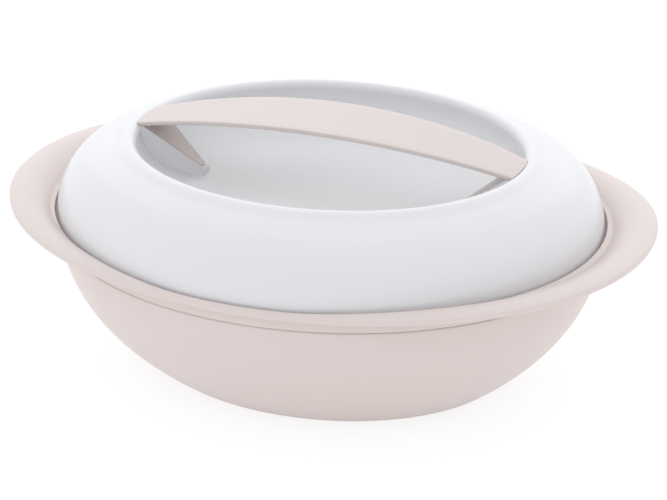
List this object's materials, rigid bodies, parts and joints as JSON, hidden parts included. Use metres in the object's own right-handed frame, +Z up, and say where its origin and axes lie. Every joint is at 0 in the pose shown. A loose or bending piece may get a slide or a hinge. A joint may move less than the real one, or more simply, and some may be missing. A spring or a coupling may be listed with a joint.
{
  "type": "insulated chapati casserole",
  "caption": "Oval insulated serving casserole: a double-walled bowl with wing handles on its rim, under a dished double-walled lid that lifts off by a strap handle.",
  "frame": {"origin": "centre of the closed casserole's footprint, on the plane it stands on", "axes": "+X along the long axis through both wing handles, +Z up, the way the lid lifts"},
  "size_m": [0.3801, 0.2884, 0.1473],
  "materials": {
    "blush_plastic": "satin",
    "strap_plastic": "satin",
    "white_plastic": "gloss",
    "liner_steel": "brushed",
    "screw_steel": "satin",
    "foam": "matt",
    "seal_rubber": "matt"
  },
  "bodies": {
    "base": {"outer_bowl": "blush_plastic", "fill_plug": "blush_plastic", "rim_collar": "blush_plastic", "inner_liner": "liner_steel", "base_foam": "foam"},
    "lid": {"lid_shell": "white_plastic", "lid_gasket": "seal_rubber", "lid_liner": "liner_steel", "lid_foam": "foam", "handle_strap": "strap_plastic", "handle_screws": "screw_steel"}
  },
  "joints": [
    {"name": "lid_lift", "type": "slide", "parent": "base", "child": "lid", "axis": [0, 0, 1], "range_m": [0, 0.12]}
  ]
}
